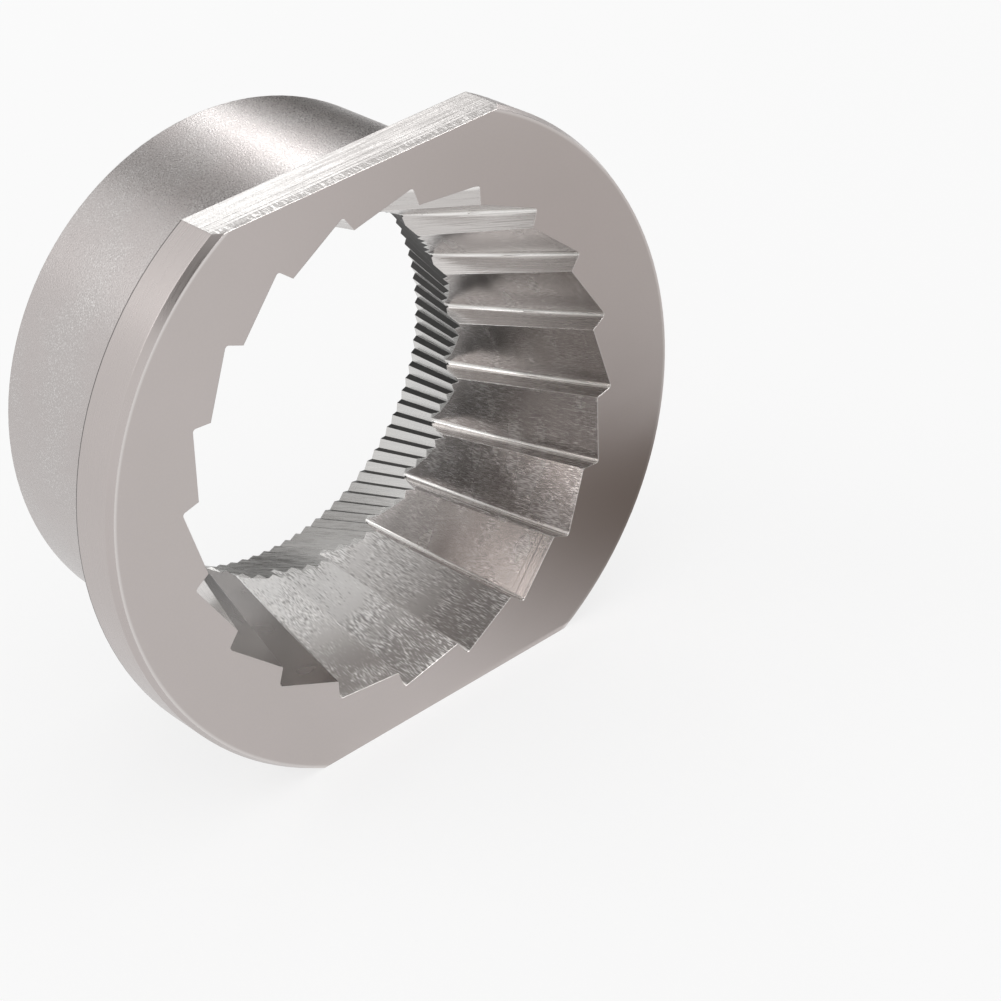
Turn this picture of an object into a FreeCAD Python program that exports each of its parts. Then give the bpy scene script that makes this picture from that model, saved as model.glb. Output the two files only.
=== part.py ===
# Ring burr of a conical burr grinder: the outer ring that the beans are crushed against.
#
# The ring is one turned and milled piece of hardened steel.
#   Flange    a short disc at the front with two parallel flats, the lower of which it stands on
#   Collar    a longer, narrower drum behind the flange, which the holder grips
#   Bore      an hourglass: it narrows from the mouth to a throat and opens again to the exit
#   Coarse    twenty large sawtooth teeth that break the beans, from the mouth to the throat
#   Fine      a hundred small sawtooth teeth that finish the grind, from the throat to the exit
#
# Axes: the bore runs along Y and its mouth faces -Y. +Z is up. The origin is under the middle
# of the ring, on the surface that its lower flat stands on. Lengths in mm, angles in degrees.

import FreeCAD, Part
import math
import os
import Sketcher

document = FreeCAD.newDocument("RingBurr")


# Driving dimensions

SIZES = [
    ("flange_diameter", 60.0, "outside of the flange"),
    ("across_flats", 52.3, "between the two flats of the flange"),
    ("flange_thickness", 5.0, "front face to shoulder"),
    ("front_break_width", 0.35, "front edge break, across the face"),
    ("front_break_depth", 0.8, "front edge break, along the bore"),
    ("collar_diameter", 49.2, "outside of the collar"),
    ("collar_length", 19.6, "shoulder to back face"),
    ("back_break", 0.3, "back edge break of the collar"),
    ("mouth_diameter", 43.1, "over the coarse crests at the front face"),
    ("throat_diameter", 34.6, "over the crests where coarse meets fine"),
    ("throat_depth", 14.9, "front face to throat"),
    ("exit_diameter", 40.2, "over the fine crests at the back face"),
    ("coarse_teeth", 20, "number of coarse teeth"),
    ("coarse_depth_mouth", 1.6, "crest to root at the front face"),
    ("coarse_depth_throat", 1.85, "crest to root at the throat"),
    ("coarse_steep_mouth", 1.9, "angle that the steep flank takes at the front face"),
    ("coarse_steep_throat", 3.1, "angle that the steep flank takes at the throat"),
    ("coarse_root_radius", 0.3, "rounding in the root"),
    ("coarse_turn", 7.6, "angle that a coarse tooth turns through, mouth to throat"),
    ("coarse_first", 5.1, "angle of one coarse crest at the front face"),
    ("coarse_run_out", 6.0, "how far the coarse cutter passes the throat"),
    ("fine_teeth", 100, "number of fine teeth"),
    ("fine_depth", 0.36, "crest to root"),
    ("fine_steep", 1.25, "angle that the steep flank takes"),
    ("fine_turn", 4.0, "angle that a fine tooth turns through, throat to exit"),
    ("fine_first", 3.1, "angle of one fine crest at the back face"),
    ("fine_run_out", 4.0, "how far the fine cutter passes the throat"),
    ("tooth_stock", 0.4, "metal left over the crests in the turned bore"),
    ("cutter_overrun", 0.5, "how far a cutter starts clear of the end face"),
]

sizes = document.addObject("Spreadsheet::Sheet", "Sizes")
for row, (alias, value, meaning) in enumerate(SIZES, start=1):
    sizes.set(f"A{row}", alias)
    sizes.set(f"B{row}", str(value))
    sizes.set(f"C{row}", meaning)
    sizes.setAlias(f"B{row}", alias)
document.recompute()


# Formulas

def size(name):
    """A driving dimension, as a formula reads it."""
    return f"Sizes.{name}"


def value_of(formula):
    """What a formula comes to now."""
    return float(sizes.evalExpression(formula))


def between(near, far, place, span):
    """The straight line from near to far over span, read at place and on past either end."""
    return f"(({near}) + (({far}) - ({near})) * ({place}) / ({span}))"


def at_angle(radius, angle):
    """A point of a cross-section, by its distance from the bore axis and its angle."""
    return f"({radius}) * cos({angle})", f"({radius}) * sin({angle})"


def past(start, end, share):
    """The point beyond end on the line from start, by a share of that line."""
    return tuple(f"(1 + {share}) * ({e}) - ({share}) * ({s})" for s, e in zip(start, end))


OVERALL_LENGTH = f"({size('flange_thickness')} + {size('collar_length')})"


# Sketches

body = document.addObject("PartDesign::Body", "RingBurrBody")
body.Label = "ring_burr"


def origin_feature(role):
    """One of the body's own origin planes or axes."""
    return next(item for item in body.Origin.OriginFeatures if item.Role == role)


def new_sketch(name, plane_role, depth=None):
    """A sketch on an origin plane, or on the plane square to the bore at a depth behind the mouth."""
    sketch = body.newObject("Sketcher::SketchObject", name)
    sketch.AttachmentSupport = [(origin_feature(plane_role), "")]
    sketch.MapMode = "FlatFace"
    if depth is not None:
        sketch.setExpression("AttachmentOffset.Base.z", f"-({depth})")
    return sketch


def pin_point(sketch, edge, end, point):
    """Hold one end of an edge, or a lone point, at a place given by two formulas."""
    for direction, formula in zip(("DistanceX", "DistanceY"), point):
        number = sketch.addConstraint(
            Sketcher.Constraint(direction, -1, 1, edge, end, value_of(formula)))
        sketch.setExpression(f"Constraints[{number}]", formula)


def vector(point):
    """Where two formulas put a point now."""
    return FreeCAD.Vector(value_of(point[0]), value_of(point[1]), 0)


def chain(sketch, corners):
    """Straight edges from corner to corner, joined but not closed. Gives the edge numbers."""
    edges = []
    for start, end in zip(corners, corners[1:]):
        edges.append(sketch.addGeometry(Part.LineSegment(vector(start), vector(end))))
    for first, second in zip(edges, edges[1:]):
        sketch.addConstraint(Sketcher.Constraint("Coincident", first, 2, second, 1))
    for edge, corner in zip(edges, corners):
        pin_point(sketch, edge, 1, corner)
    return edges


def closed_outline(sketch, corners):
    """A closed outline of straight edges through the corners."""
    edges = chain(sketch, corners + corners[:1])
    sketch.addConstraint(Sketcher.Constraint("Coincident", edges[-1], 2, edges[0], 1))


# Turned blank: flange, collar and hourglass bore, with stock left for the teeth

def bore_radius(diameter):
    """The turned bore under a crest diameter."""
    return f"{size(diameter)} / 2 - {size('tooth_stock')}"


flange_radius = f"{size('flange_diameter')} / 2"
collar_radius = f"{size('collar_diameter')} / 2"
profile = new_sketch("ring_profile", "XY_Plane")
closed_outline(profile, [
    (bore_radius("mouth_diameter"), "0"),
    (f"{flange_radius} - {size('front_break_width')}", "0"),
    (flange_radius, size("front_break_depth")),
    (flange_radius, size("flange_thickness")),
    (collar_radius, size("flange_thickness")),
    (collar_radius, f"{OVERALL_LENGTH} - {size('back_break')}"),
    (f"{collar_radius} - {size('back_break')}", OVERALL_LENGTH),
    (bore_radius("exit_diameter"), OVERALL_LENGTH),
    (bore_radius("throat_diameter"), size("throat_depth")),
])
blank = body.newObject("PartDesign::Revolution", "turned_blank")
blank.Profile = profile
blank.ReferenceAxis = (profile, ["V_Axis"])
blank.Angle = 360
document.recompute()


# Flats: two chords milled off the flange

def flat_cut(sketch, side):
    """The strip that a cutter takes off above (1) or below (-1) the flange."""
    reach = flange_radius
    near = f"{side} * {size('across_flats')} / 2"
    far = f"{side} * {size('flange_diameter')}"
    closed_outline(sketch, [
        (f"-({reach})", near),
        (reach, near),
        (reach, far),
        (f"-({reach})", far),
    ])


flats_sketch = new_sketch("flats_outline", "XZ_Plane")
flat_cut(flats_sketch, 1)
flat_cut(flats_sketch, -1)
flats = body.newObject("PartDesign::Pocket", "flats")
flats.Profile = flats_sketch
flats.Type = "ThroughAll"
flats.Midplane = True
document.recompute()


# Teeth: one space between two crests is lofted from section to section, then repeated

# How far a cutter passes the crests, in stocks: the steep flank, and the open middle behind it
STEEP_PAST_CREST = 2
OPEN_PAST_CREST = 2.5
# The long flank's share of itself that it runs on past its crest
LONG_PAST_CREST = 0.1


def space_corners(crest_radius, depth, crest_angle, steep_angle, pitch):
    """Corners of the space between two crests: steep flank, root, long flank, way out."""
    stock = size("tooth_stock")
    steep_share = f"({STEEP_PAST_CREST} * {stock} / ({depth}))"
    near_crest = at_angle(crest_radius, crest_angle)
    root = at_angle(f"{crest_radius} + {depth}", f"{crest_angle} + {steep_angle}")
    far_crest = at_angle(crest_radius, f"{crest_angle} + {pitch}")
    open_radius = f"{crest_radius} - {OPEN_PAST_CREST} * {stock}"
    return [
        past(root, near_crest, steep_share),
        root,
        past(root, far_crest, LONG_PAST_CREST),
        at_angle(open_radius, f"{crest_angle} + {pitch}"),
        at_angle(open_radius, crest_angle),
    ]


def rounded_root(steep_end, root, long_end, radius):
    """Where an arc of this radius touches two flanks that meet at the root, and its centre."""
    steep_way = (steep_end - root).normalize()
    long_way = (long_end - root).normalize()
    half_angle = steep_way.getAngle(long_way) / 2
    reach = radius / math.tan(half_angle)
    centre = root + (steep_way + long_way).normalize() * (radius / math.sin(half_angle))
    return root + steep_way * reach, root + long_way * reach, centre


def rounded_space(sketch, corners, radius):
    """The outline of a tooth space whose root is an arc tangent to both flanks."""
    steep_end, root, long_end, far_inner, near_inner = corners
    steep_touch, long_touch, centre = rounded_root(
        vector(steep_end), vector(root), vector(long_end), value_of(radius))
    steep = sketch.addGeometry(Part.LineSegment(vector(steep_end), steep_touch))
    start = math.atan2(*reversed((steep_touch - centre)[:2]))
    end = math.atan2(*reversed((long_touch - centre)[:2]))
    circle = Part.Circle(centre, FreeCAD.Vector(0, 0, 1), value_of(radius))
    arc = sketch.addGeometry(Part.ArcOfCircle(circle, start, end))
    long = sketch.addGeometry(Part.LineSegment(long_touch, vector(long_end)))
    corner = sketch.addGeometry(Part.Point(vector(root)), True)
    way_out = chain(sketch, [long_end, far_inner, near_inner, steep_end])
    pin_point(sketch, steep, 1, steep_end)
    pin_point(sketch, corner, 1, root)
    sketch.addConstraint([
        Sketcher.Constraint("Coincident", long, 2, way_out[0], 1),
        Sketcher.Constraint("Coincident", way_out[-1], 2, steep, 1),
        Sketcher.Constraint("PointOnObject", corner, 1, steep),
        Sketcher.Constraint("PointOnObject", corner, 1, long),
        Sketcher.Constraint("Tangent", steep, 2, arc, 1),
        Sketcher.Constraint("Tangent", arc, 2, long, 1),
    ])
    number = sketch.addConstraint(Sketcher.Constraint("Radius", arc, value_of(radius)))
    sketch.setExpression(f"Constraints[{number}]", radius)


def loft_cut(name, sections):
    """A cutter that runs straight from one section to the other."""
    cut = body.newObject("PartDesign::SubtractiveLoft", name)
    cut.Profile = sections[0]
    cut.Sections = [(section, [""]) for section in sections[1:]]
    cut.Ruled = True
    document.recompute()
    return cut


def around_bore(name, cut, count):
    """The same cut repeated evenly about the bore axis."""
    ring = body.newObject("PartDesign::PolarPattern", name)
    ring.Originals = [cut]
    ring.Axis = (origin_feature("Y_Axis"), [""])
    ring.Angle = 360
    ring.setExpression("Occurrences", size(count))
    body.Tip = ring
    document.recompute()
    return ring


# Coarse teeth: deep sawteeth that run from the mouth down to the throat

def coarse_section(name, depth):
    """The space between two coarse crests at a depth behind the mouth."""
    def along(mouth, throat):
        return between(mouth, throat, depth, size("throat_depth"))

    sketch = new_sketch(name, "XZ_Plane", depth)
    rounded_space(sketch, space_corners(
        crest_radius=along(f"{size('mouth_diameter')} / 2", f"{size('throat_diameter')} / 2"),
        depth=along(size("coarse_depth_mouth"), size("coarse_depth_throat")),
        crest_angle=along(size("coarse_first"), f"{size('coarse_first')} - {size('coarse_turn')}"),
        steep_angle=along(size("coarse_steep_mouth"), size("coarse_steep_throat")),
        pitch=f"360 / {size('coarse_teeth')}",
    ), size("coarse_root_radius"))
    return sketch


coarse_sections = [
    coarse_section("coarse_space_front", f"(-{size('cutter_overrun')})"),
    coarse_section("coarse_space_back", f"({size('throat_depth')} + {size('coarse_run_out')})"),
]
coarse_space = loft_cut("coarse_space", coarse_sections)
coarse_ring = around_bore("coarse_teeth", coarse_space, "coarse_teeth")


# Fine teeth: shallow sawteeth that run from the exit up to the throat

def fine_section(name, depth):
    """The space between two fine crests at a depth behind the mouth."""
    def along(exit_value, throat_value):
        return between(exit_value, throat_value, f"({OVERALL_LENGTH} - {depth})",
                       f"({OVERALL_LENGTH} - {size('throat_depth')})")

    sketch = new_sketch(name, "XZ_Plane", depth)
    closed_outline(sketch, space_corners(
        crest_radius=along(f"{size('exit_diameter')} / 2", f"{size('throat_diameter')} / 2"),
        depth=size("fine_depth"),
        crest_angle=along(size("fine_first"), f"{size('fine_first')} + {size('fine_turn')}"),
        steep_angle=size("fine_steep"),
        pitch=f"360 / {size('fine_teeth')}",
    ))
    return sketch


fine_sections = [
    fine_section("fine_space_back", f"({OVERALL_LENGTH} + {size('cutter_overrun')})"),
    fine_section("fine_space_front", f"({size('throat_depth')} - {size('fine_run_out')})"),
]
fine_space = loft_cut("fine_space", fine_sections)
fine_ring = around_bore("fine_teeth", fine_space, "fine_teeth")


# Placement: the lower flat on the ground, the middle of the length over the origin

body.setExpression("Placement.Base.y", f"-{OVERALL_LENGTH} / 2")
body.setExpression("Placement.Base.z", f"{size('across_flats')} / 2")
document.recompute()


# Checks, then one file for each piece

for item in document.Objects:
    if "Invalid" in item.State or "Error" in item.State:
        raise RuntimeError(f"{item.Name} failed: {item.State}")

os.makedirs("parts", exist_ok=True)
for piece in [body]:
    shape = piece.Shape
    if shape.isNull() or not shape.isValid():
        raise RuntimeError(f"{piece.Label} has no valid solid")
    shape.exportStep(f"parts/{piece.Label}.step")
    box = shape.BoundBox
    print(piece.Label, "solids", len(shape.Solids), "faces", len(shape.Faces),
          "volume", round(shape.Volume, 1), "mm3",
          "box", round(box.XLength, 3), round(box.YLength, 3), round(box.ZLength, 3))
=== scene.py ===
# %% [markdown]
# # A ring burr from a coffee grinder, dressed for a studio picture
#
# The part is one piece of hard steel: a flanged ring with two flats, a plain collar behind it, and
# a bore full of teeth. Twenty big teeth at the mouth crack the beans, and a hundred small ones at
# the back mill them. Its shape comes from CAD, finished. This lesson gives each surface the finish
# that its own tool left on it, then lights the part and takes the picture.

import math

import bpy
from mathutils import Matrix, Vector

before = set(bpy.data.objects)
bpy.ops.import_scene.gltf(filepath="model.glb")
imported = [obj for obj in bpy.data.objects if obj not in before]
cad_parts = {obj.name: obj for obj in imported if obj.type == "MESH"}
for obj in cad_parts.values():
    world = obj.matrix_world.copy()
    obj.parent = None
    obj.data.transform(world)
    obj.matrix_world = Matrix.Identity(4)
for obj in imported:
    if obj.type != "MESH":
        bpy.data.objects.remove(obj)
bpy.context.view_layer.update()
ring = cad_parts["ring_burr"]
print("ring:", len(ring.data.vertices), "points,", len(ring.data.polygons), "faces")

# %% [markdown]
# ## Where things are on the ring
#
# A turned part is easiest to describe the way a lathe sees it: how far from the axis, how far
# round, and how deep from the front face. The bore's axis lies level, half way up between the two
# flats, and the front face looks towards -Y. All the lengths here are millimetres, as on a drawing.

# %% The lathe's own measures
MM = 0.001
AXIS_HEIGHT = 26.15
FRONT_FACE = -12.3
FLANGE_RADIUS = 30.0
FLANGE_THICKNESS = 5.0
COLLAR_RADIUS = 24.6
MOUTH_RADIUS = 21.55
THROAT_RADIUS = 17.3
EXIT_RADIUS = 20.1
THROAT_DEPTH = 14.9
BORE_DEPTH = 24.6
MOUTH_SLOPE = (MOUTH_RADIUS - THROAT_RADIUS) / THROAT_DEPTH
EXIT_SLOPE = (EXIT_RADIUS - THROAT_RADIUS) / (BORE_DEPTH - THROAT_DEPTH)


def lathe_place(point):
    """(radius, angle in radians, depth behind the front face) of a point given in metres."""
    x = point.x / MM
    up = point.z / MM - AXIS_HEIGHT
    return math.hypot(x, up), math.atan2(up, x), point.y / MM - FRONT_FACE


def lathe_facing(normal, angle):
    """(outward, round, backward) parts of a direction at that angle."""
    c, s = math.cos(angle), math.sin(angle)
    return normal.x * c + normal.z * s, normal.z * c - normal.x * s, normal.y


print("flange edge at radius", FLANGE_RADIUS, "and the throat", THROAT_DEPTH, "deep")

# %% [markdown]
# ## Which tool cut which face
#
# A grinder burr is turned on a lathe, its flats are milled, its collar is bead blasted and its
# teeth are cut with a formed cutter. Each tool leaves its own marks, so each gets its own material.
# The faces could be picked by hand, but a rule in numbers can be read and checked. So they are
# sorted by where they are and which way they look. No point of the shape moves. A direction's part
# is 1 where it looks exactly that way and 0 where it looks square to it.

# %% Sort the faces by the tool that cut them
FINISHES = (
    "ground_face_steel",
    "turned_rim_steel",
    "blasted_collar_steel",
    "milled_flat_steel",
    "long_flank_steel",
    "steep_flank_steel",
    "small_tooth_steel",
    "small_gap_painted_shade_steel",
)
SLACK_MM = 0.5
PAST_THROAT_MM = 0.3
SMALL_TOOTH_MM = 0.42
STRAIGHT_UP = 0.99
SQUARE_TO_AXIS = 0.9
STEEP_SIDE = 0.3
OUTSIDE_WALL = 0.3
UNDERCUT = 0.2


def finish_of(face):
    """The name of the finish that belongs on a face of the ring."""
    radius, angle, depth = lathe_place(face.center)
    outward, around, backward = lathe_facing(face.normal, angle)
    if abs(face.normal.z) > STRAIGHT_UP and radius > COLLAR_RADIUS + SLACK_MM:
        return "milled_flat_steel"
    if outward > OUTSIDE_WALL and radius > COLLAR_RADIUS - SLACK_MM:
        return "turned_rim_steel" if depth < FLANGE_THICKNESS else "blasted_collar_steel"
    if abs(backward) > SQUARE_TO_AXIS:
        return "ground_face_steel"
    past_throat = depth - THROAT_DEPTH
    small_root = THROAT_RADIUS + past_throat * EXIT_SLOPE + SMALL_TOOTH_MM
    if past_throat > PAST_THROAT_MM and radius < small_root:
        # The steep sides of the small teeth get a near-black finish, which is painted shade.
        return "small_gap_painted_shade_steel" if around > STEEP_SIDE else "small_tooth_steel"
    if around > STEEP_SIDE or outward > UNDERCUT:
        return "steep_flank_steel"
    return "long_flank_steel"


def sort_faces(piece):
    """Gives the piece one slot for each finish and puts every face into its slot."""
    piece.data.materials.clear()
    for name in FINISHES:
        piece.data.materials.append(bpy.data.materials.new(name))
    counts = dict.fromkeys(FINISHES, 0)
    for face in piece.data.polygons:
        name = finish_of(face)
        face.material_index = FINISHES.index(name)
        counts[name] += 1
    return counts


print(sort_faces(ring))

# %% [markdown]
# ## Small helpers for wiring shaders
#
# A material is a graph of nodes. They could be laid out by hand in the shader editor, but in code a
# few short helpers do it, so that the cells that follow read as a list of what feeds what. One
# fills a socket, one starts an empty tree, one makes a node, and the rest stand for the nodes that
# are used most.

# %% Make nodes and join them
def put(tree, socket, value):
    """Joins another socket to this one, or gives it a plain value. Three numbers make a colour."""
    if isinstance(value, bpy.types.NodeSocket):
        tree.links.new(value, socket)
    elif socket.type == "RGBA":
        socket.default_value = (*value, 1.0)
    else:
        socket.default_value = value


def empty_tree(owner):
    """The node tree of a material or a world, with nothing in it."""
    owner.use_nodes = True
    owner.node_tree.nodes.clear()
    return owner.node_tree


def add(tree, kind, inputs=None, **settings):
    """A new node of that kind, with its input sockets filled by name or by number."""
    node = tree.nodes.new(kind)
    for key, value in settings.items():
        setattr(node, key, value)
    for key, value in (inputs or {}).items():
        put(tree, node.inputs[key], value)
    return node


def maths(tree, operation, *values):
    """The result of one Math node on the values, which are numbers or sockets."""
    return add(tree, "ShaderNodeMath", dict(enumerate(values)), operation=operation).outputs[0]


def times(tree, first, second):
    """One value multiplied by the other."""
    return maths(tree, "MULTIPLY", first, second)


def away_from(tree, value, middle):
    """How far a value is from the middle, on either side."""
    return maths(tree, "ABSOLUTE", maths(tree, "SUBTRACT", value, middle))


def spread(tree, value, low, high, to_low=0.0, to_high=1.0, smooth=True):
    """value from low..high to to_low..to_high, clamped, with soft ends."""
    kind = "SMOOTHSTEP" if smooth else "LINEAR"
    ends = {"Value": value, "From Min": low, "From Max": high, "To Min": to_low, "To Max": to_high}
    return add(tree, "ShaderNodeMapRange", ends, interpolation_type=kind).outputs["Result"]


def blend(tree, mask, first, second, share=1.0):
    """The first colour where the mask is 0, and that share of the second where it is 1."""
    if share != 1.0:
        mask = times(tree, mask, share)
    # A Mix node has its sockets for numbers, directions and colours in one row. 6, 7 and 2 are colours.
    return add(tree, "ShaderNodeMix", {0: mask, 6: first, 7: second}, data_type="RGBA").outputs[2]


print("helpers ready: put, empty_tree, add, maths, times, away_from, spread, blend")

# %% [markdown]
# ## Shader groups
#
# An effect that several finishes share, such as scratches or rounded edges, could be copied from
# one material to the next, but then each mend has to be made many times. A node group is built once
# and placed in each material with its own values. It has named inputs and outputs, and it puts out
# only numbers, colours and directions that change over the surface.

# %% Start and finish a group
FLOAT = "NodeSocketFloat"
VECTOR = "NodeSocketVector"


def new_group(name, inputs, outputs):
    """(tree, its input sockets, its output sockets) of a new group.

    inputs gives each name its default, one number or three, and outputs gives each name its kind.
    """
    tree = bpy.data.node_groups.new(name, "ShaderNodeTree")
    for label, value in inputs.items():
        kind = VECTOR if isinstance(value, tuple) else FLOAT
        tree.interface.new_socket(label, in_out="INPUT", socket_type=kind).default_value = value
    for label, kind in outputs.items():
        tree.interface.new_socket(label, in_out="OUTPUT", socket_type=kind)
    return tree, tree.nodes.new("NodeGroupInput").outputs, tree.nodes.new("NodeGroupOutput").inputs


def give_out(tree, out, values):
    """Joins each named output of a group to the socket that makes it, and says what was built."""
    for label, value in values.items():
        put(tree, out[label], value)
    print(tree.name, "has", len(tree.nodes), "nodes and puts out", ", ".join(values))
    return tree


def use(tree, group, inputs):
    """The outputs of a group placed in a material with its own values."""
    return add(tree, "ShaderNodeGroup", inputs, node_tree=group).outputs


print("group helpers ready: new_group, give_out, use")

# %% [markdown]
# ## Group: place on the ring
#
# Tool marks run along the tool's path: round the axis on turned faces, along or across a tooth in
# the bore. Unwrapping the ring would give such directions too, but leaves seams and stretch. So
# this group works out the lathe's measures from the object's own coordinates, and counts teeth:
# which tooth a point is on and how far across it. Root is a mask of the narrow round foot of each
# tooth, which sits a little way past the crest and wanders across the tooth as the bore deepens.

# %% Build the ring_place group
BIG_TEETH = {"Teeth": 20.0, "First Crest": 5.1, "Turn Per Mm": 0.51, "Start Depth": 0.0}
SMALL_TEETH = {"Teeth": 100.0, "First Crest": 3.1, "Turn Per Mm": 0.412, "Start Depth": THROAT_DEPTH}
ROOT_AT_MOUTH = 0.118
ROOT_SHIFT_PER_MM = 0.0072
ROOT_HALF_WIDTH = 0.040


def build_ring_place():
    """The group that gives a point's place as the lathe and the cutter see it, in millimetres."""
    kinds = dict.fromkeys(("Radius", "Depth", "Across Mm", "Tooth", "Root"), FLOAT)
    tree, given, out = new_group("ring_place", BIG_TEETH, {**kinds, "Place Mm": VECTOR})
    where = add(tree, "ShaderNodeTexCoord").outputs["Object"]
    shift = {0: where, 1: (1 / MM,) * 3, 2: (0.0, -FRONT_FACE, -AXIS_HEIGHT)}
    place = add(tree, "ShaderNodeVectorMath", shift, operation="MULTIPLY_ADD").outputs[0]
    part = add(tree, "ShaderNodeSeparateXYZ", {0: place}).outputs
    depth = part["Y"]
    square = maths(tree, "MULTIPLY_ADD", part["X"], part["X"], times(tree, part["Z"], part["Z"]))
    radius = maths(tree, "SQRT", square)
    angle = maths(tree, "DEGREES", maths(tree, "ARCTAN2", part["Z"], part["X"]))
    from_start = maths(tree, "SUBTRACT", depth, given["Start Depth"])
    unturned = maths(tree, "MULTIPLY_ADD", from_start, given["Turn Per Mm"], angle)
    from_first = maths(tree, "SUBTRACT", unturned, given["First Crest"])
    pitch = maths(tree, "DIVIDE", 360.0, given["Teeth"])
    count = maths(tree, "DIVIDE", from_first, pitch)
    across = maths(tree, "FRACT", count)
    tooth = maths(tree, "FLOORED_MODULO", maths(tree, "FLOOR", count), given["Teeth"])
    pitch_mm = times(tree, maths(tree, "RADIANS", pitch), radius)
    root_at = maths(tree, "MULTIPLY_ADD", depth, ROOT_SHIFT_PER_MM, ROOT_AT_MOUTH)
    off_root = away_from(tree, across, root_at)
    values = {
        "Radius": radius,
        "Depth": depth,
        "Across Mm": times(tree, across, pitch_mm),
        "Tooth": tooth,
        "Root": spread(tree, off_root, ROOT_HALF_WIDTH, ROOT_HALF_WIDTH / 2),
        "Place Mm": place,
    }
    return give_out(tree, out, values)


ring_place = build_ring_place()

# %% [markdown]
# ## Group: tool lines
#
# A cutting edge drags fine parallel scratches behind it. A wave texture would make even ones, but
# real scratches start, stop and differ. Noise that is stretched along the cut and squeezed across
# it does that. Two sizes are mixed, so that the pattern doesn't look combed, and Coarse Share says
# how much of the larger one there is. Seed moves to another part of the noise.

# %% Build the tool_lines group
LINE_DEFAULTS = {
    "Along": 0.0,
    "Across": 0.0,
    "Seed": 0.0,
    "Line Length": 2.0,
    "Line Width": 0.1,
    "Coarse Share": 0.4,
}
SIZES_AND_DETAILS = ((1.0, 0.5), (3.3, 1.0))
SEED_STEP = 17.31


def build_tool_lines():
    """The group that makes parallel scratches: Height, from 0 to 1."""
    tree, given, out = new_group("tool_lines", LINE_DEFAULTS, {"Height": FLOAT})
    lengths = maths(tree, "DIVIDE", given["Along"], given["Line Length"])
    widths = maths(tree, "DIVIDE", given["Across"], given["Line Width"])
    heights = []
    for size, detail in SIZES_AND_DETAILS:
        spot = {
            "X": maths(tree, "DIVIDE", lengths, size),
            "Y": maths(tree, "DIVIDE", widths, size),
            "Z": times(tree, given["Seed"], SEED_STEP),
        }
        place = add(tree, "ShaderNodeCombineXYZ", spot).outputs[0]
        noise = add(tree, "ShaderNodeTexNoise", {"Vector": place, "Scale": 1.0, "Detail": detail})
        heights.append(noise.outputs["Fac"])
    fine = times(tree, heights[0], maths(tree, "SUBTRACT", 1.0, given["Coarse Share"]))
    height = maths(tree, "MULTIPLY_ADD", heights[1], given["Coarse Share"], fine)
    return give_out(tree, out, {"Height": height})


def lines_of(tree, along, across, length, width, seed=0.0, coarse=0.4):
    """The height of tool lines that run along one measure and lie side by side across another."""
    run = {"Along": along, "Across": across, "Seed": seed}
    size = {"Line Length": length, "Line Width": width, "Coarse Share": coarse}
    return use(tree, tool_lines, {**run, **size})["Height"]


tool_lines = build_tool_lines()

# %% [markdown]
# ## Group: pass marks
#
# Each pass of a cutter ends in a small step, so a few deeper grooves run parallel to the front
# edge. They could be cut into the mesh, but they are only hundredths of a millimetre deep. So the
# group turns the distance from that edge into thin lines, each with its own place and width in
# millimetres, and the finishes use them for colour and for bump.

# %% Build the pass_marks group
PASSES = ((0.28, 0.07), (1.05, 0.09), (1.55, 0.06), (2.35, 0.05))


def build_pass_marks():
    """The group that draws thin lines at set distances from an edge: Lines, from 0 to 1."""
    tree, given, out = new_group("pass_marks", {"Distance Mm": 0.0}, {"Lines": FLOAT})
    lines = 0.0
    for distance, width in PASSES:
        off = away_from(tree, given["Distance Mm"], distance)
        lines = maths(tree, "MAXIMUM", lines, spread(tree, off, width, width * 0.3))
    return give_out(tree, out, {"Lines": lines})


pass_marks = build_pass_marks()

# %% [markdown]
# ## Group: grain and patches
#
# Blasted steel is covered in tiny dents, and other faces have a grain too fine to make out, with cleaner
# and duller patches. One group serves all of them: fine noise makes the grain, broad noise says where it
# is strong, and sharp peaks of the fine noise mark the specks where a finish paints glints. Modelling the
# dents would take millions of faces for the same look.

# %% Build the metal_grain group
GRAIN_DEFAULTS = {"Place Mm": (0.0, 0.0, 0.0), "Grain Mm": 0.12, "Patch Mm": 3.0, "Speck Level": 0.62}


def build_metal_grain():
    """The group for grain: its height, where it is strong, and its sharpest spots."""
    kinds = dict.fromkeys(("Grain", "Patch", "Specks"), FLOAT)
    tree, given, out = new_group("metal_grain", GRAIN_DEFAULTS, kinds)

    def noise(size, detail):
        scale = maths(tree, "DIVIDE", 1.0, size)
        values = {"Vector": given["Place Mm"], "Scale": scale, "Detail": detail}
        return add(tree, "ShaderNodeTexNoise", values).outputs["Fac"]

    grain = noise(given["Grain Mm"], 1.5)
    patch = spread(tree, noise(given["Patch Mm"], 4.0), 0.30, 0.75)
    full_at = maths(tree, "ADD", given["Speck Level"], 0.1)
    peak = spread(tree, grain, given["Speck Level"], full_at)
    return give_out(tree, out, {"Grain": grain, "Patch": patch, "Specks": times(tree, peak, patch)})


def grain_of(tree, place, grain_mm, patch_mm=3.0, speck_level=0.62):
    """The outputs of metal_grain for grain and patches of those sizes."""
    sizes = {"Grain Mm": grain_mm, "Patch Mm": patch_mm, "Speck Level": speck_level}
    return use(tree, metal_grain, {"Place Mm": place["Place Mm"], **sizes})


metal_grain = build_metal_grain()

# %% [markdown]
# ## Group: worn edge
#
# No real edge is perfectly sharp, and the thin line of light along it is what makes metal look solid. The
# CAD shape has its edges sharp and mustn't change, so they are rounded in the shading: the Bevel node
# bends the normals next to an edge as if it were round. Where they differ from the face's own there is an
# edge, and that makes the mask. The finishes also use the mask to paint a highlight into their colours
# along the edges.

# %% Build the worn_edge group
SAME_WAY = 0.998
TURNED_AWAY = 0.9


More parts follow.
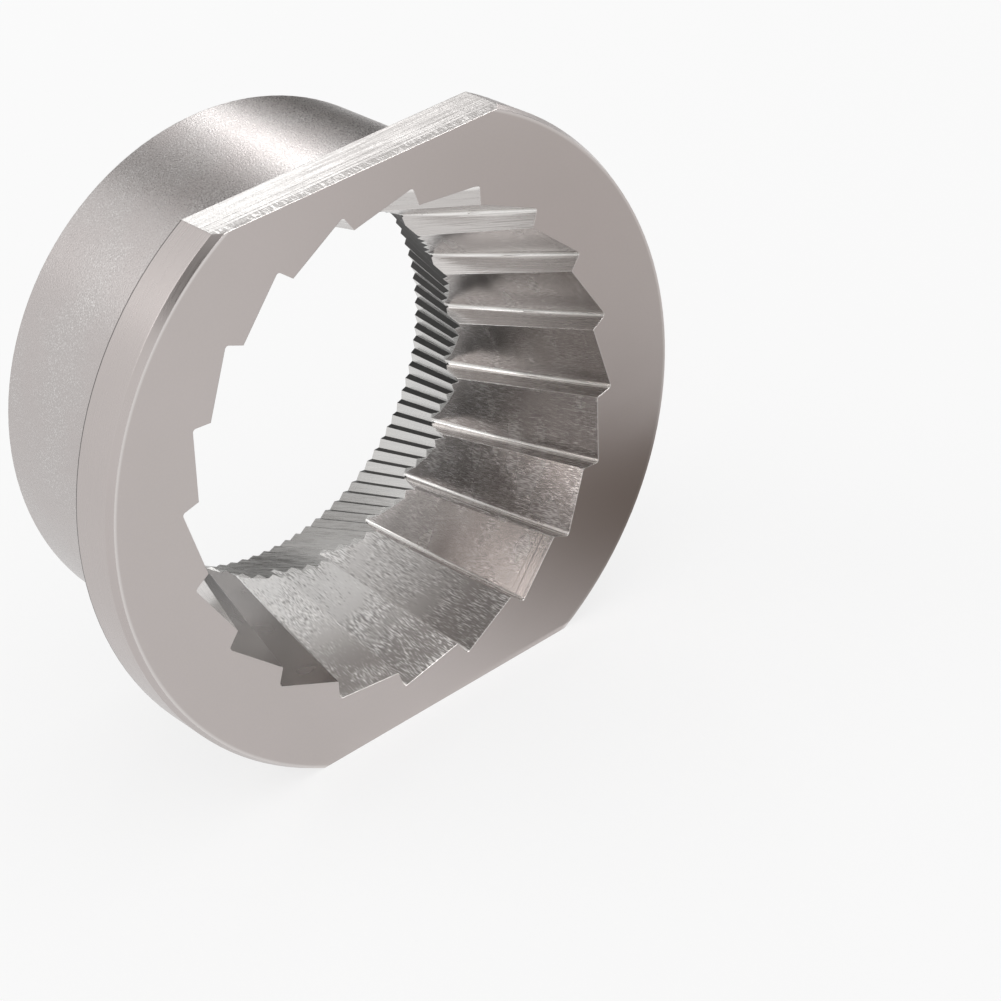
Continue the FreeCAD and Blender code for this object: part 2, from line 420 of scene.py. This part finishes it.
def build_worn_edge():
    """The group for edges: Edge is 1 along them, Normal is the face's with its edges rounded."""
    tree, given, out = new_group("worn_edge", {"Radius Mm": 0.1}, {"Edge": FLOAT, "Normal": VECTOR})
    radius = times(tree, given["Radius Mm"], MM)
    rounded = add(tree, "ShaderNodeBevel", {"Radius": radius}, samples=6).outputs[0]
    plain = add(tree, "ShaderNodeNewGeometry").outputs["Normal"]
    same = add(tree, "ShaderNodeVectorMath", {0: rounded, 1: plain}, operation="DOT_PRODUCT")
    edge = spread(tree, same.outputs["Value"], SAME_WAY, TURNED_AWAY, smooth=False)
    return give_out(tree, out, {"Edge": edge, "Normal": rounded})


worn_edge = build_worn_edge()

# %% [markdown]
# ## Start a steel
#
# All the finishes are the same nickel-toned tool steel, so they share their first nodes: the place
# on the ring, the rounded edges, and a metal shader. A metal takes its look from what it reflects,
# tinted with its colour, so Metallic is 1 and the colour is fairly pale. Copying one material eight
# times would do it too, but a helper keeps the shared part in one place.

# %% A helper that starts each steel
STEEL = (0.510, 0.465, 0.452)
BRIGHT_STEEL = (0.660, 0.625, 0.605)
DULL_STEEL = (0.340, 0.312, 0.300)
# The palest tone is used for painted highlights on edges and tooth roots.
PAINTED_HIGHLIGHT_STEEL = (0.86, 0.84, 0.82)


def start_steel(name, edge_mm, teeth=BIG_TEETH):
    """(tree, metal shader, place, edge) of the named material, ready for its own marks."""
    tree = empty_tree(bpy.data.materials[name])
    metal = add(tree, "ShaderNodeBsdfPrincipled", {"Metallic": 1.0})
    add(tree, "ShaderNodeOutputMaterial", {"Surface": metal.outputs[0]})
    place = use(tree, ring_place, teeth)
    edge = use(tree, worn_edge, {"Radius Mm": edge_mm})
    return tree, metal, place, edge


def finish_steel(tree, metal, colour, roughness, normal):
    """Fills the three sockets that every finish sets. Returns how many nodes the finish has."""
    put(tree, metal.inputs["Base Color"], colour)
    put(tree, metal.inputs["Roughness"], roughness)
    put(tree, metal.inputs["Normal"], normal)
    return len(tree.nodes)


def bumped(tree, edge, height, depth_mm):
    """A normal with dents and ridges of that height, on top of the rounded edges."""
    values = {"Height": height, "Distance": depth_mm * MM, "Normal": edge["Normal"]}
    return add(tree, "ShaderNodeBump", values).outputs[0]


print(len(FINISHES), "finishes share the tones from", DULL_STEEL, "to", PAINTED_HIGHLIGHT_STEEL)

# %% [markdown]
# ## Ground face
#
# The front face and the faces behind are ground after hardening, which leaves a smooth satin with almost
# nothing to see. Rings from a grinding wheel would be finer than the picture shows, so there is no bump.
# What shows is broad soft stains where the hardening tinted the steel. A painted highlight runs along the
# edges, and as a pale line where the front face meets the small break at its outer edge.

# %% Dress the ground faces
STAINED_STEEL = (0.475, 0.440, 0.420)
GROUND_PAINTED_HIGHLIGHT = (0.78, 0.75, 0.735)
GROUND_ROUGHNESS = 0.30
PAINTED_LINE_RADII = (FLANGE_RADIUS - 0.70, FLANGE_RADIUS - 0.45)


def dress_ground_face():
    """Satin with soft stains, and a painted highlight on the edges and as a pale outer line."""
    tree, metal, place, edge = start_steel("ground_face_steel", 0.05)
    grain = grain_of(tree, place, grain_mm=0.25, patch_mm=9.0)
    stained = blend(tree, grain["Patch"], STEEL, STAINED_STEEL, 0.3)
    grained = blend(tree, grain["Grain"], stained, BRIGHT_STEEL, 0.12)
    # A painted highlight along the edges, and as a pale line just inside the outer break.
    painted_highlight_line = spread(tree, place["Radius"], *PAINTED_LINE_RADII, 0.0, 0.6)
    lined = maths(tree, "MAXIMUM", times(tree, edge["Edge"], 0.7), painted_highlight_line)
    colour = blend(tree, lined, grained, GROUND_PAINTED_HIGHLIGHT)
    return finish_steel(tree, metal, colour, GROUND_ROUGHNESS, edge["Normal"])


print("ground face:", dress_ground_face(), "nodes")

# %% [markdown]
# ## Turned rim
#
# The flange's round edge and its front break come straight off the lathe. Their lines run round the rim,
# one for each turn of the part, and are finer than the eye sees at arm's length. So they change the
# roughness more than the shape: the bump is only a few thousandths of a millimetre. The edges carry a
# painted highlight. The thin dark line along the back edge is a painted shadow, where the shoulder drops
# to the collar.

# %% Dress the rim
RIM_STAIN = (0.465, 0.43, 0.415)
SHOULDER_SHADE = (0.12, 0.112, 0.108)
SHOULDER_DEPTHS = (FLANGE_THICKNESS - 0.14, FLANGE_THICKNESS - 0.06)


def dress_rim():
    """Fine lines round the rim, a painted highlight on its edges and a painted shadow line at its back
    edge.
    """
    tree, metal, place, edge = start_steel("turned_rim_steel", 0.12)
    lines = lines_of(tree, place["Across Mm"], place["Depth"], length=9.0, width=0.07)
    grain = grain_of(tree, place, grain_mm=0.11, patch_mm=6.0)
    stained = blend(tree, grain["Patch"], STEEL, RIM_STAIN, 0.3)
    # A painted highlight along the edges.
    lit = blend(tree, edge["Edge"], stained, BRIGHT_STEEL, 0.8)
    # A painted shadow line at the back edge, where the shoulder drops to the collar.
    shoulder = spread(tree, place["Depth"], *SHOULDER_DEPTHS)
    colour = blend(tree, shoulder, lit, SHOULDER_SHADE)
    roughness = spread(tree, lines, 0.3, 0.7, 0.26, 0.32)
    height = maths(tree, "MULTIPLY_ADD", lines, 0.8, grain["Grain"])
    return finish_steel(tree, metal, colour, roughness, bumped(tree, edge, height, 0.003))


print("turned rim:", dress_rim(), "nodes")

# %% [markdown]
# ## Blasted collar
#
# The collar sits in the grinder's body. Fine glass beads have taken its tool marks off and left an even,
# sandy satin: a wide soft highlight with tiny sparks in it. Roughness alone would give the soft highlight
# without the sparks. So the dents, about a tenth of a millimetre across, are a bump, and are coloured a
# little darker. The sparks on the highest ridges are painted glints, and the edges carry a painted
# highlight.

# %% Dress the collar
BLASTED_STEEL = (0.505, 0.468, 0.458)
BLASTED_STAIN = (0.485, 0.465, 0.455)
BEAD_PAINTED_GLINT = (0.74, 0.72, 0.71)


def dress_collar():
    """A sandy satin with darker dents, painted glints and a painted edge highlight."""
    tree, metal, place, edge = start_steel("blasted_collar_steel", 0.10)
    grain = grain_of(tree, place, grain_mm=0.14, patch_mm=5.0, speck_level=0.56)
    stained = blend(tree, grain["Patch"], BLASTED_STEEL, BLASTED_STAIN, 0.5)
    dented = blend(tree, spread(tree, grain["Grain"], 0.46, 0.34), stained, DULL_STEEL, 0.18)
    # Painted glints on the highest ridges, then a painted highlight along the edges.
    glinted = blend(tree, grain["Specks"], dented, BEAD_PAINTED_GLINT, 0.8)
    colour = blend(tree, edge["Edge"], glinted, BRIGHT_STEEL, 0.6)
    roughness = spread(tree, grain["Grain"], 0.35, 0.65, 0.25, 0.35)
    return finish_steel(tree, metal, colour, roughness, bumped(tree, edge, grain["Grain"], 0.017))


print("blasted collar:", dress_collar(), "nodes")

# %% [markdown]
# ## Milled flats
#
# The two flats stop the ring from turning in its seat. An end mill took them off in long passes, so they
# carry lines along the flat, and rows of short ripples across them where the cutter chattered: next to the
# front edge, and again further in at the right. They are the brightest faces, because the cut is fresh. A
# painted sheen makes them brighter still towards the left, and a painted highlight runs along their edges.
# Lines and ripples are the same group, turned by swapping what is along and what is across. Each pair of
# lengths says where a mark starts to show and where it is full.

# %% Dress the flats
MILLED_PALE = (0.620, 0.600, 0.585)
MILLED_DARK = (0.500, 0.480, 0.468)
PAINTED_SHEEN_FLAT = (0.86, 0.845, 0.83)
PITTED_FLAT = (0.34, 0.32, 0.31)
CHATTER_SHADE = (0.26, 0.245, 0.235)
CHATTER_AT_FRONT = (1.05, 0.85)
CHATTER_AT_RIGHT = (4.0, 14.0)
SHEEN_AT_LEFT = (3.0, -12.0)


def chatter_marks(tree, right, depth):
    """Ripples across the flat where the cutter chattered, and the broken lines of its passes."""
    ripples = lines_of(tree, depth, right, length=0.8, width=0.17, seed=2.0, coarse=0.15)
    dotted = spread(tree, ripples, 0.42, 0.56)
    near_front = spread(tree, depth, *CHATTER_AT_FRONT, 0.12, 1.0)
    to_right = spread(tree, right, *CHATTER_AT_RIGHT, 0.0, 0.35)
    chatter = times(tree, dotted, maths(tree, "MAXIMUM", near_front, to_right))
    passes = use(tree, pass_marks, {"Distance Mm": depth})["Lines"]
    broken = times(tree, passes, maths(tree, "MULTIPLY_ADD", dotted, 0.5, 0.5))
    return maths(tree, "MAXIMUM", times(tree, chatter, 0.75), times(tree, broken, 0.8))


def dress_flats():
    """Bright milled steel with long lines, chatter, and a painted sheen towards the left end."""
    tree, metal, place, edge = start_steel("milled_flat_steel", 0.08)
    part = add(tree, "ShaderNodeSeparateXYZ", {0: place["Place Mm"]}).outputs
    lines = lines_of(tree, part["X"], part["Y"], length=4.0, width=0.16)
    grain = grain_of(tree, place, grain_mm=0.14)["Grain"]
    marks = chatter_marks(tree, part["X"], part["Y"])
    lined = blend(tree, spread(tree, lines, 0.40, 0.60), MILLED_PALE, MILLED_DARK)
    # A painted sheen makes the flat lighter towards its left end.
    with_sheen = blend(tree, spread(tree, part["X"], *SHEEN_AT_LEFT), lined, PAINTED_SHEEN_FLAT, 0.6)
    pitted = blend(tree, spread(tree, grain, 0.52, 0.40), with_sheen, PITTED_FLAT, 0.35)
    marked = blend(tree, marks, pitted, CHATTER_SHADE)
    # A painted highlight along the edges.
    colour = blend(tree, edge["Edge"], marked, BRIGHT_STEEL, 0.4)
    roughness = spread(tree, lines, 0.3, 0.7, 0.34, 0.44)
    height = maths(tree, "SUBTRACT", maths(tree, "MULTIPLY_ADD", lines, 0.8, grain), marks)
    return finish_steel(tree, metal, colour, roughness, bumped(tree, edge, height, 0.014))


print("milled flats:", dress_flats(), "nodes")

# %% [markdown]
# ## Long flanks: how the teeth differ
#
# Each big tooth has a long slope that pushes the beans forward. Every tooth was a separate cut, so no two
# look the same, and one even finish all round would look like plastic. Twenty materials would be too many,
# so the tooth's number does it: it gives each tooth its own lot, a share from 0 to 1 that jumps about from
# tooth to tooth and picks its tone. The teeth round number 13.8 also get a painted highlight, dark at the
# mouth and almost white towards the throat. The two round number 11.5 get painted shade that is darkest
# towards the throat. The fades say how many teeth away from those numbers the change is nothing, and how
# many away it is full.

# %% The tone of each long flank
HIGHLIT_TOOTH = 13.8
HIGHLIT_FADE = (2.2, 0.8)
DARKENED_TOOTH = 11.5
DARKENED_FADE = (1.2, 0.8)
DARKENED_SHARE = 0.85
DARK_TOOTH = (0.360, 0.335, 0.325)
PALE_TOOTH = (0.630, 0.590, 0.570)
HIGHLIGHT_AT_MOUTH = (0.30, 0.285, 0.275)
HIGHLIGHT_AT_THROAT = (0.97, 0.96, 0.95)
HIGHLIT_LOW_TONE = (0.23, 0.212, 0.20)
HIGHLIGHT_DEPTHS = (2.0, 12.0)
PAINTED_SHADE_AT_MOUTH = (0.27, 0.25, 0.24)
PAINTED_SHADE_AT_THROAT = (0.12, 0.114, 0.11)
PAINTED_SHADE_DEPTHS = (4.0, 12.0)


def tooth_tone(tree, tooth, depth):
    """(colour, lot, and the masks of the teeth with painted highlight and with painted shade) of a long
    flank, from the number of its tooth.
    """
    lot = maths(tree, "FRACT", maths(tree, "MULTIPLY_ADD", tooth, 0.15, 0.45))
    highlit = spread(tree, away_from(tree, tooth, HIGHLIT_TOOTH), *HIGHLIT_FADE)
    darkened = spread(tree, away_from(tree, tooth, DARKENED_TOOTH), *DARKENED_FADE, 0.0, DARKENED_SHARE)
    plain = blend(tree, lot, DARK_TOOTH, PALE_TOOTH)
    # Painted highlight, from dark at the mouth to almost white at the throat.
    bright = blend(tree, spread(tree, depth, *HIGHLIGHT_DEPTHS), HIGHLIGHT_AT_MOUTH, HIGHLIGHT_AT_THROAT)
    shaded = blend(tree, lot, bright, HIGHLIT_LOW_TONE, 0.55)
    # Painted shade, darkest at the throat.
    stained = blend(tree, spread(tree, depth, *PAINTED_SHADE_DEPTHS), PAINTED_SHADE_AT_MOUTH, PAINTED_SHADE_AT_THROAT)
    tone = blend(tree, darkened, blend(tree, highlit, plain, shaded), stained)
    return tone, lot, highlit, darkened


# The first number marks the teeth with a painted highlight, the second the teeth with painted shade.
print("fresh teeth round number", HIGHLIT_TOOTH, "and worn ones round number", DARKENED_TOOTH)

# %% [markdown]
# ## Long flanks: lines and torn steel
#
# The formed cutter leaves short fine lines that run the length of the tooth. Where the steel tore they are
# thick with bright specks, in bands that lie across the tooth, and between the bands the flank is nearly
# smooth. A bump alone would show that only where a lamp happens to catch it, so the lines are painted into
# the colour too: the light ones as painted glints and the dark ones as painted shade. The tooth's number
# is their seed, so that no tooth repeats another. torn says how deep in a band a point is, and push makes
# both the light lines and the dark ones wider there, without a hard border. strength is how much the lines
# show: most on the teeth with the painted highlight, while those with painted shade have hardly any light
# ones. Near the mouth the grooves of the passes show. A painted highlight runs along the crest, broken
# into dots, and along the root.

# %% Dress the long flanks
GROOVE_SHADE = (0.22, 0.205, 0.20)
PAINTED_SHADE_LINE = (0.24, 0.225, 0.22)
PAINTED_GLINT_LINE = (1.0, 0.99, 0.98)


def dress_long_flanks():
    """Lines along the tooth in torn bands across it, painted as glints and shade over each tooth's tone.
    """
    tree, metal, place, edge = start_steel("long_flank_steel", 0.09)
    along, across, tooth = place["Depth"], place["Across Mm"], place["Tooth"]
    tone, lot, highlit, darkened = tooth_tone(tree, tooth, along)
    hatch = lines_of(tree, along, across, length=0.50, width=0.065, seed=tooth, coarse=0.12)
    bands = lines_of(tree, across, along, length=3.2, width=1.7, seed=tooth)
    torn = spread(tree, bands, 0.28, 0.72, smooth=False)
    push = maths(tree, "MULTIPLY_ADD", torn, 0.28, -0.14)
    light_lines = spread(tree, maths(tree, "ADD", hatch, push), 0.50, 0.74)
    dark_lines = spread(tree, maths(tree, "SUBTRACT", hatch, push), 0.50, 0.28)
    passes = use(tree, pass_marks, {"Distance Mm": along})["Lines"]
    grooves = times(tree, passes, maths(tree, "MULTIPLY_ADD", lot, 0.35, 0.15))
    grooved = blend(tree, grooves, tone, GROOVE_SHADE)
    strength = spread(tree, highlit, 0.0, 1.0, 0.40, 0.68, smooth=False)
    # The dark lines are painted shade and the light lines are painted glints.
    darker = blend(tree, times(tree, dark_lines, strength), grooved, PAINTED_SHADE_LINE)
    light_share = maths(tree, "MULTIPLY_ADD", darkened, -0.5, strength)
    light_mask = maths(tree, "MAXIMUM", times(tree, light_lines, light_share), 0.0)
    lighter = blend(tree, light_mask, darker, PAINTED_GLINT_LINE)
    # A painted highlight on the crest, broken into dots, and on the root.
    dots = times(tree, edge["Edge"], spread(tree, hatch, 0.42, 0.52, 0.1, 0.9))
    bright = maths(tree, "MAXIMUM", dots, place["Root"])
    colour = blend(tree, bright, lighter, PAINTED_HIGHLIGHT_STEEL)
    satin = maths(tree, "MAXIMUM", times(tree, torn, 0.45), highlit)
    roughness = spread(tree, satin, 0.0, 1.0, 0.21, 0.40, smooth=False)
    swing = maths(tree, "MULTIPLY_ADD", torn, 0.6, 0.1)
    rough = times(tree, maths(tree, "SUBTRACT", hatch, 0.5), swing)
    height = maths(tree, "MULTIPLY_ADD", grooves, -0.4, rough)
    return finish_steel(tree, metal, colour, roughness, bumped(tree, edge, height, 0.009))


print("long flanks:", dress_long_flanks(), "nodes")

# %% [markdown]
# ## Steep flanks and roots
#
# The short steep side of a tooth does the cutting. The side of the cutter rubbed along it, so its lines
# run the length of the tooth. The small round root at its foot and the tooth's edge carry a painted
# highlight. How far up this narrow face a point lies could be measured along it. Its radius says nearly
# the same, once the slope of the bore is taken out, so that is what spaces the lines.

# %% Dress the steep flanks
STEEP_PALE = (0.62, 0.595, 0.58)
STEEP_DARK = (0.48, 0.45, 0.435)


def dress_steep_flanks():
    """Lines along the tooth, with a painted highlight on the root and the edge."""
    tree, metal, place, edge = start_steel("steep_flank_steel", 0.06)
    up_flank = maths(tree, "MULTIPLY_ADD", place["Depth"], MOUTH_SLOPE, place["Radius"])
    lines = lines_of(tree, place["Depth"], up_flank, length=4.0, width=0.07, seed=place["Tooth"])
    grain = grain_of(tree, place, grain_mm=0.12)["Grain"]
    lined = blend(tree, lines, STEEP_PALE, STEEP_DARK, 0.6)
    # A painted highlight on the edge and on the root.
    bright = maths(tree, "MAXIMUM", times(tree, edge["Edge"], 0.8), place["Root"])
    colour = blend(tree, bright, lined, PAINTED_HIGHLIGHT_STEEL)
    roughness = spread(tree, lines, 0.3, 0.7, 0.18, 0.30)
    height = maths(tree, "MULTIPLY_ADD", lines, 1.5, times(tree, grain, 0.3))
    return finish_steel(tree, metal, colour, roughness, bumped(tree, edge, height, 0.012))


print("steep flanks:", dress_steep_flanks(), "nodes")

# %% [markdown]
# ## Small teeth and the gaps between them
#
# The hundred small teeth are the finest cut of all and the last, so they are smooth and pale. A little
# hatching along each one is enough. Their steep sides lie deep between them and face away from the light.
# Their finish is painted nearly black as painted shade, so the row reads as pale bars with dark gaps. Both
# finishes have the same few nodes, so one function makes them, each with its own colours: at the bottom
# and the top of the lines, and a painted highlight on the edge.

# %% Dress the small teeth
# The last colour of each set is a painted highlight on the edge, and the gap colours are painted shade.
SMALL_TOOTH_COLOURS = ((0.67, 0.66, 0.645), (0.50, 0.49, 0.478), (0.66, 0.65, 0.635))
SMALL_GAP_PAINTED_SHADE = ((0.018, 0.017, 0.016), (0.06, 0.057, 0.055), (0.40, 0.39, 0.38))


def dress_small(name, across, edge_mm, colours, share, roughness):
    """Light hatching along each small tooth, and a painted highlight on its edge."""
    tree, metal, place, edge = start_steel(name, edge_mm, SMALL_TEETH)
    tooth = place["Tooth"]
    lines = lines_of(tree, place["Depth"], place[across], length=2.5, width=0.08, seed=tooth)
    low, high, at_edge = colours
    colour = blend(tree, edge["Edge"], blend(tree, lines, low, high, share), at_edge, 0.5)
    satin = spread(tree, lines, 0.3, 0.7, *roughness)
    return finish_steel(tree, metal, colour, satin, bumped(tree, edge, lines, 0.006))


tooth_nodes = dress_small("small_tooth_steel", "Across Mm", 0.04, SMALL_TOOTH_COLOURS, 0.5, (0.22, 0.34))
gap_nodes = dress_small("small_gap_painted_shade_steel", "Radius", 0.03, SMALL_GAP_PAINTED_SHADE, 1.0, (0.30, 0.42))
print("small teeth:", tooth_nodes, "nodes, and the gaps:", gap_nodes)

# %% [markdown]
# ## Camera
#
# The picture is taken from in front, from the left and from above, with a long lens from a quarter
# of a metre away. The camera is turned a little about its own line of sight. A constraint could aim
# it, but its place is worked out here from the middle of the front face, so that it can be read as
# directions and distances.

# %% Set up the camera
IMAGE_SIDE = 1001
FOCUS_PIXELS = 2935.0
SENSOR_WIDTH = 36.0
FACE_CENTRE = Vector((0.0, FRONT_FACE * MM, AXIS_HEIGHT * MM))
TURN = math.radians(-35.969)
RISE = math.radians(31.346)
ROLL = math.radians(-7.986)
DISTANCE = 8.33 * FLANGE_RADIUS * MM
SIDEWAYS = 0.261 * FLANGE_RADIUS * MM
UPWARDS = -0.1515 * FLANGE_RADIUS * MM


def place_camera():
    """The picture's camera, looking at the ring from front left."""
    back = Vector((math.sin(TURN) * math.cos(RISE), -math.cos(TURN) * math.cos(RISE), math.sin(RISE)))
    level = (-back).cross(Vector((0, 0, 1))).normalized()
    upright = level.cross(-back)
    right = level * math.cos(ROLL) + upright * math.sin(ROLL)
    up = upright * math.cos(ROLL) - level * math.sin(ROLL)
    data = bpy.data.cameras.new("picture_camera")
    data.sensor_width = SENSOR_WIDTH
    data.lens = FOCUS_PIXELS / IMAGE_SIDE * SENSOR_WIDTH
    data.clip_start, data.clip_end = 0.01, 20.0
    camera = bpy.data.objects.new("picture_camera", data)
    bpy.context.scene.collection.objects.link(camera)
    turned = Matrix((right, up, back)).transposed().to_4x4()
    place = FACE_CENTRE + back * DISTANCE + right * SIDEWAYS + up * UPWARDS
    camera.matrix_world = Matrix.Translation(place) @ turned
    bpy.context.scene.camera = camera
    return camera


camera = place_camera()
print("camera at", [round(v, 3) for v in camera.location], "with a", round(camera.data.lens, 1), "mm lens")

# %% [markdown]
# ## Floor and backdrop
#
# Metal shows whatever is around it, so the room matters as much as the lamps. The ring stands on a
# sheet of white paper that runs on out of sight, and the room is white too. More light would make
# the paper white, but would bleach the ring. So the camera and the reflections are shown a brighter
# paper and a brighter room than the ones that light the ring, which keeps its soft shadow.

# %% Lay the floor and light the room
FLOOR_SIDE = 6.0
FLOOR_GLOW = 0.75
PAPER = (0.90, 0.90, 0.90)
WHITE = (1.0, 1.0, 1.0)
ROOM_LIGHT = 0.82


def seen_directly(tree):
    """1 where the camera, a mirror or glass looks at a surface, 0 where it only lights others."""
    ray = add(tree, "ShaderNodeLightPath").outputs
    through = maths(tree, "MAXIMUM", ray["Is Glossy Ray"], ray["Is Transmission Ray"])
    return maths(tree, "MAXIMUM", ray["Is Camera Ray"], through)


def new_sheet(name, width, height, material):
    """A flat rectangle of that material."""
    w, h = width / 2, height / 2
    mesh = bpy.data.meshes.new(name)
    mesh.from_pydata([(-w, -h, 0), (w, -h, 0), (w, h, 0), (-w, h, 0)], [], [(0, 1, 2, 3)])
    mesh.materials.append(material)
    sheet = bpy.data.objects.new(name, mesh)
    bpy.context.scene.collection.objects.link(sheet)
    return sheet


def lay_floor():
    """A wide sheet of white paper under the ring. It belongs to the stage, not to the ring."""
    material = bpy.data.materials.new("white_paper")
    tree = empty_tree(material)
    paper = add(tree, "ShaderNodeBsdfDiffuse", {"Color": PAPER}).outputs[0]
    glow = add(tree, "ShaderNodeEmission", {"Color": WHITE, "Strength": 1.0}).outputs[0]
    share = times(tree, seen_directly(tree), FLOOR_GLOW)
    mix = add(tree, "ShaderNodeMixShader", {0: share, 1: paper, 2: glow}).outputs[0]
    add(tree, "ShaderNodeOutputMaterial", {"Surface": mix})
    floor = new_sheet("paper_floor", FLOOR_SIDE, FLOOR_SIDE, material)


def light_room():
    """An even white room: a plain white background that lights the ring softly."""
    world = bpy.data.worlds.new("white_room")
    bpy.context.scene.world = world
    tree = empty_tree(world)
    level = spread(tree, seen_directly(tree), 0.0, 1.0, ROOM_LIGHT, 1.0, smooth=False)
    background = add(tree, "ShaderNodeBackground", {"Color": WHITE, "Strength": level}).outputs[0]
    add(tree, "ShaderNodeOutputWorld", {"Surface": background})


lay_floor()
light_room()
print("floor:", FLOOR_SIDE, "m wide, and a room that lights at", ROOM_LIGHT, "of what it shows")

# %% [markdown]
# ## Lamps
#
# A white room alone makes metal look flat. A narrow lamp behind the ring draws the bright streak
# along the top of the collar and lights the upper flat. A large soft one, behind it at the left,
# lightens the near side of the collar and the paper. Lamps can be set by place, but what matters
# for a highlight is the direction it comes from. So they are set by azimuth, elevation and distance
# from the ring, and then have a width, a height and a brightness.

# %% Place lamps by direction
RING_CENTRE = Vector((0.0, 0.0, AXIS_HEIGHT * MM))


def toward(azimuth, elevation):
    """A direction from the ring: azimuth 0 is straight back (+Y), 90 is to the right (+X)."""
    a, e = math.radians(azimuth), math.radians(elevation)
    return Vector((math.sin(a) * math.cos(e), math.cos(a) * math.cos(e), math.sin(e)))


def facing_ring(thing, azimuth, elevation, distance):
    """Puts a lamp or a card at that distance from the ring, with its face turned to it."""
    away = toward(azimuth, elevation)
    thing.rotation_mode = "QUATERNION"
    thing.rotation_quaternion = away.to_track_quat("Z", "Y")
    thing.location = RING_CENTRE + away * distance


def soft_lamp(name, azimuth, elevation, distance, width, height, brightness):
    """A rectangular soft lamp that looks that bright, where 1 is the white of the room."""
    data = bpy.data.lights.new(name, "AREA")
    data.shape = "RECTANGLE"
    data.size, data.size_y = width, height
    data.energy = brightness * width * height * math.pi
    lamp = bpy.data.objects.new(name, data)
    bpy.context.scene.collection.objects.link(lamp)
    facing_ring(lamp, azimuth, elevation, distance)


soft_lamp("strip_lamp", 33, 31, 0.60, 0.065, 0.15, 4.2)
soft_lamp("key_lamp", -50, 45, 0.80, 0.40, 0.40, 1.3)

# %% [markdown]
# ## Cards for the metal to mirror
#
# Photographers of metal stand cards around it, just out of the picture. Dark and grey ones make the
# dark bands that show how a surface curves, and white ones make bright lines. A shade above 1 is a
# card that is lit itself. Real cards also block light. These are plain sheets that only reflections
# see, so each can stand where it is needed. The last two lie on the paper in front of the ring and
# tint the lower right of its face, and they fade out at their edges so that no border shows.

# %% Make and place the cards
CARD_HEIGHT = 0.0004
CARD_TURN = math.radians(36)


def card_material(name, width, height, shade, soft):
    """A material that shows one shade, and fades out from the middle where it is soft."""
    material = bpy.data.materials.new(name)
    tree = empty_tree(material)
    seen = add(tree, "ShaderNodeEmission", {"Color": shade, "Strength": 1.0}).outputs[0]
    if soft:
        where = add(tree, "ShaderNodeTexCoord").outputs["Object"]
        halves = {0: where, 1: (width / 2, height / 2, 1.0)}
        share = add(tree, "ShaderNodeVectorMath", halves, operation="DIVIDE").outputs[0]
        off_middle = add(tree, "ShaderNodeVectorMath", {0: share}, operation="LENGTH").outputs["Value"]
        clear = add(tree, "ShaderNodeBsdfTransparent").outputs[0]
        fade = spread(tree, off_middle, 1.0, 0.1)
        seen = add(tree, "ShaderNodeMixShader", {0: fade, 1: clear, 2: seen}).outputs[0]
    add(tree, "ShaderNodeOutputMaterial", {"Surface": seen})
    return material


def new_card(name, width, height, shade, soft=False):
    """A card that reflections see as that shade, and that neither lights nor shades anything."""
    card = new_sheet(name, width, height, card_material(name, width, height, shade, soft))
    card.visible_camera = False
    card.visible_diffuse = False
    card.visible_shadow = False
    card.visible_transmission = False
    return card


def stand_card(name, azimuth, elevation, distance, width, height, shade):
    """A card that stands in that direction from the ring and faces it."""
    facing_ring(new_card(name, width, height, shade), azimuth, elevation, distance)


def lay_card(name, x, y, width, height, shade):
    """A soft-edged card flat on the paper. x and y are its middle, in metres."""
    card = new_card(name, width, height, shade, soft=True)
    card.location = (x, y, CARD_HEIGHT)
    card.rotation_euler.z = CARD_TURN


stand_card("dark_card_right", 42, 3, 0.24, 0.17, 0.12, (0.05, 0.048, 0.045))
stand_card("grey_card_top", 8, 50, 0.40, 0.12, 0.18, (0.12, 0.115, 0.11))
stand_card("dark_card_front", 105, 32, 0.50, 0.80, 0.50, (0.12, 0.11, 0.105))
stand_card("dark_card_back", 16, 15, 0.24, 0.105, 0.08, (0.04, 0.038, 0.036))
stand_card("grey_card_back", -10, 11, 0.26, 0.13, 0.09, (0.40, 0.39, 0.385))
stand_card("white_card_high", 150, 50, 0.12, 0.10, 0.08, (8.0, 8.0, 8.0))
stand_card("white_card_right", 68, 25, 0.30, 0.10, 0.08, (2.5, 2.5, 2.5))
stand_card("dark_card_left", -100, 60, 0.50, 0.34, 0.24, (0.07, 0.065, 0.06))
lay_card("brown_card_low", 0.037, -0.030, 0.066, 0.106, (0.185, 0.155, 0.135))
lay_card("pale_card_low", 0.078, -0.088, 0.090, 0.130, (0.60, 0.565, 0.545))

# %% [markdown]
# ## Colour
#
# A film-like view would be kinder to highlights, but the Standard one shows a colour as it was written, so
# the steel can be checked against its numbers.

# %% Finish
bpy.context.scene.view_settings.view_transform = "Standard"
